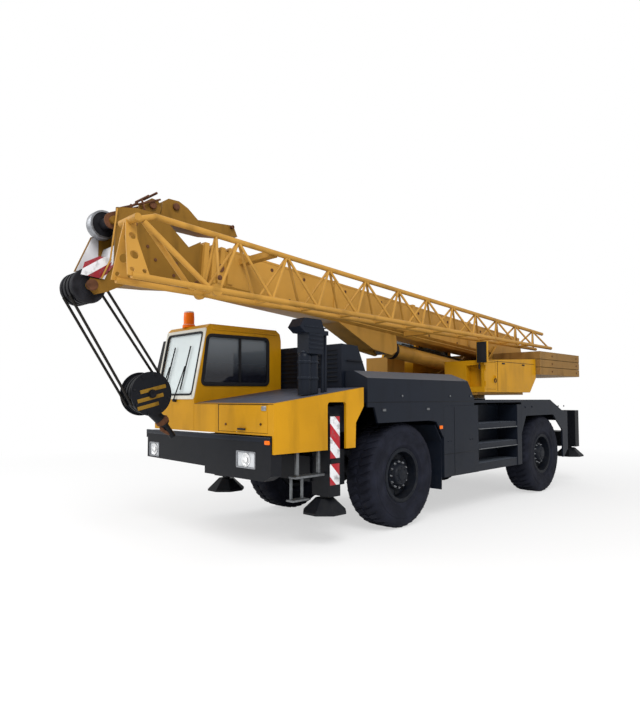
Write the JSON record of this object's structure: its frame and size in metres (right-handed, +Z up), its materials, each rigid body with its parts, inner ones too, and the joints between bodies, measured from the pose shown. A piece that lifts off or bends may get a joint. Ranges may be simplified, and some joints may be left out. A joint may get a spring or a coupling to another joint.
{
  "type": "mobile crane",
  "caption": "Two-axle mobile crane with side cab, slewing superstructure, telescopic boom, stowed lattice jib, lift cylinder, hook block and outriggers.",
  "frame": {"origin": "on the ground under the centre of the whole crane's bounding box, boom lowered over the front", "axes": "+X forward along the carrier, +Y to the crane's left, +Z up"},
  "size_m": [9.7551, 2.6404, 3.8677],
  "materials": {
    "black_paint": "satin",
    "clear_glass": "gloss",
    "engine_iron": "matte",
    "grey_paint": "satin",
    "iron": "satin",
    "lamp_lens": "gloss",
    "rope": "satin",
    "steel": "satin",
    "trim": "matte",
    "tyre": "matte",
    "yellow_paint": "gloss"
  },
  "bodies": {
    "carrier": {"chassis_frame": "grey_paint", "axles": "grey_paint", "nose_panels": "yellow_paint", "engine_cover": "grey_paint", "engine_block": "engine_iron", "intake_stack": "grey_paint", "front_bumper": "black_paint", "lamps": "lamp_lens", "cab_shell": "yellow_paint", "cab_glass": "clear_glass", "cab_interior": "trim", "front_hoods": "grey_paint", "side_lockers": "grey_paint", "rear_deck": "grey_paint"},
    "cab_door": {"cab_door": "yellow_paint", "cab_door_glass": "clear_glass", "cab_mirror": "trim"},
    "locker_lid": {"locker_lid": "yellow_paint"},
    "knuckle_front_left": {"knuckle_front_left": "grey_paint"},
    "wheel_front_left": {"tyre_front_left": "tyre", "rim_front_left": "grey_paint"},
    "knuckle_front_right": {"knuckle_front_right": "grey_paint"},
    "wheel_front_right": {"tyre_front_right": "tyre", "rim_front_right": "grey_paint"},
    "knuckle_rear_left": {"knuckle_rear_left": "grey_paint"},
    "wheel_rear_left": {"tyre_rear_left": "tyre", "rim_rear_left": "grey_paint"},
    "knuckle_rear_right": {"knuckle_rear_right": "grey_paint"},
    "wheel_rear_right": {"tyre_rear_right": "tyre", "rim_rear_right": "grey_paint"},
    "outrigger_front_left": {"outrigger_beam_front_left": "grey_paint"},
    "jack_front_left": {"outrigger_jack_front_left": "grey_paint"},
    "outrigger_front_right": {"outrigger_beam_front_right": "grey_paint"},
    "jack_front_right": {"outrigger_jack_front_right": "grey_paint"},
    "outrigger_rear_left": {"outrigger_beam_rear_left": "grey_paint"},
    "jack_rear_left": {"outrigger_jack_rear_left": "grey_paint"},
    "outrigger_rear_right": {"outrigger_beam_rear_right": "grey_paint"},
    "jack_rear_right": {"outrigger_jack_rear_right": "grey_paint"},
    "superstructure": {"turntable_frame": "yellow_paint", "counterweight": "yellow_paint", "winch": "iron", "equipment_box": "yellow_paint", "operator_cab": "yellow_paint", "operator_glass": "clear_glass", "operator_seat": "trim"},
    "equipment_door": {"equipment_door": "yellow_paint"},
    "operator_door": {"operator_door": "yellow_paint", "operator_door_glass": "clear_glass"},
    "boom": {"boom_base": "yellow_paint", "jib_lattice": "yellow_paint"},
    "section_1": {"boom_section_1": "yellow_paint"},
    "section_2": {"boom_section_2": "yellow_paint"},
    "section_3": {"boom_section_3": "yellow_paint", "boom_head": "yellow_paint", "head_sheaves": "iron"},
    "hook": {"hoist_ropes": "rope", "hook_block": "black_paint"},
    "lift_barrel": {"lift_barrel": "yellow_paint"},
    "lift_rod": {"lift_rod": "steel"}
  },
  "joints": [
    {"name": "cab_door_hinge", "type": "hinge", "parent": "carrier", "child": "cab_door", "pos_m": [3.166, -1.13, 1.9], "axis": [0, 0, 1], "range_deg": [0, 70]},
    {"name": "locker_lid_hinge", "type": "hinge", "parent": "carrier", "child": "locker_lid", "pos_m": [3.23, 0.72, 1.587], "axis": [0, -1, 0], "range_deg": [0, 85]},
    {"name": "steer_front_left", "type": "hinge", "parent": "carrier", "child": "knuckle_front_left", "pos_m": [1.02, 0.82, 0.67], "axis": [0, 0, 1], "range_deg": [-28, 28]},
    {"name": "spin_front_left", "type": "hinge", "parent": "knuckle_front_left", "child": "wheel_front_left", "pos_m": [1.02, 0.995, 0.67], "axis": [0, 1, 0], "continuous": true},
    {"name": "steer_front_right", "type": "hinge", "parent": "carrier", "child": "knuckle_front_right", "pos_m": [1.02, -0.82, 0.67], "axis": [0, 0, 1], "range_deg": [-28, 28]},
    {"name": "spin_front_right", "type": "hinge", "parent": "knuckle_front_right", "child": "wheel_front_right", "pos_m": [1.02, -0.995, 0.67], "axis": [0, 1, 0], "continuous": true},
    {"name": "steer_rear_left", "type": "hinge", "parent": "carrier", "child": "knuckle_rear_left", "pos_m": [-3.04, 0.82, 0.67], "axis": [0, 0, 1], "range_deg": [-20, 20]},
    {"name": "spin_rear_left", "type": "hinge", "parent": "knuckle_rear_left", "child": "wheel_rear_left", "pos_m": [-3.04, 0.995, 0.67], "axis": [0, 1, 0], "continuous": true},
    {"name": "steer_rear_right", "type": "hinge", "parent": "carrier", "child": "knuckle_rear_right", "pos_m": [-3.04, -0.82, 0.67], "axis": [0, 0, 1], "range_deg": [-20, 20]},
    {"name": "spin_rear_right", "type": "hinge", "parent": "knuckle_rear_right", "child": "wheel_rear_right", "pos_m": [-3.04, -0.995, 0.67], "axis": [0, 1, 0], "continuous": true},
    {"name": "extend_front_left", "type": "slide", "parent": "carrier", "child": "outrigger_front_left", "axis": [0, 1, 0], "range_m": [0, 1.65]},
    {"name": "lower_front_left", "type": "slide", "parent": "outrigger_front_left", "child": "jack_front_left", "axis": [0, 0, -1], "range_m": [0, 0.45]},
    {"name": "extend_front_right", "type": "slide", "parent": "carrier", "child": "outrigger_front_right", "axis": [0, -1, 0], "range_m": [0, 1.65]},
    {"name": "lower_front_right", "type": "slide", "parent": "outrigger_front_right", "child": "jack_front_right", "axis": [0, 0, -1], "range_m": [0, 0.45]},
    {"name": "extend_rear_left", "type": "slide", "parent": "carrier", "child": "outrigger_rear_left", "axis": [0, 1, 0], "range_m": [0, 1.65]},
    {"name": "lower_rear_left", "type": "slide", "parent": "outrigger_rear_left", "child": "jack_rear_left", "axis": [0, 0, -1], "range_m": [0, 0.6]},
    {"name": "extend_rear_right", "type": "slide", "parent": "carrier", "child": "outrigger_rear_right", "axis": [0, -1, 0], "range_m": [0, 1.65]},
    {"name": "lower_rear_right", "type": "slide", "parent": "outrigger_rear_right", "child": "jack_rear_right", "axis": [0, 0, -1], "range_m": [0, 0.6]},
    {"name": "slew", "type": "hinge", "parent": "carrier", "child": "superstructure", "pos_m": [-1.98, 0, 1.645], "axis": [0, 0, 1], "continuous": true},
    {"name": "equipment_door_hinge", "type": "hinge", "parent": "superstructure", "child": "equipment_door", "pos_m": [-1.162, 1.15, 1.98], "axis": [0, 0, -1], "range_deg": [0, 110]},
    {"name": "operator_door_hinge", "type": "hinge", "parent": "superstructure", "child": "operator_door", "pos_m": [-2.463, -1.18, 2.4], "axis": [0, 0, -1], "range_deg": [0, 100]},
    {"name": "luff", "type": "hinge", "parent": "superstructure", "child": "boom", "pos_m": [-3.93, 0, 2.44], "axis": [0, -1, 0], "range_deg": [0, 72]},
    {"name": "telescope_1", "type": "slide", "parent": "boom", "child": "section_1", "axis": [0.9973, 0, 0.0732], "range_m": [0, 5.9]},
    {"name": "telescope_2", "type": "slide", "parent": "section_1", "child": "section_2", "axis": [0.9973, 0, 0.0732], "range_m": [0, 5.9]},
    {"name": "telescope_3", "type": "slide", "parent": "section_2", "child": "section_3", "axis": [0.9973, 0, 0.0732], "range_m": [0, 5.9]},
    {"name": "hook_swing", "type": "hinge", "parent": "section_3", "child": "hook", "pos_m": [4.67995, 0, 2.75643], "axis": [0, -1, 0], "range_deg": [-36.5, 0]},
    {"name": "lift_pivot", "type": "hinge", "parent": "superstructure", "child": "lift_barrel", "pos_m": [-2.98, 0, 2.14], "axis": [0, -1, 0], "range_deg": [0, 81.21]},
    {"name": "lift_stroke", "type": "slide", "parent": "lift_barrel", "child": "lift_rod", "axis": [0.995, 0, 0.1003], "range_m": [0, 1.0624]}
  ],
  "couplings": [
    {"joint": "steer_front_right", "follows": "steer_front_left", "ratio": 1},
    {"joint": "steer_rear_right", "follows": "steer_rear_left", "ratio": 1},
    {"joint": "telescope_2", "follows": "telescope_1", "ratio": 1},
    {"joint": "telescope_3", "follows": "telescope_1", "ratio": 1},
    {"joint": "hook_swing", "follows": "luff", "ratio": -0.5},
    {"joint": "lift_pivot", "follows": "luff", "ratio": 1.121},
    {"joint": "lift_stroke", "follows": "luff", "m_per_rad": 0.8375}
  ]
}
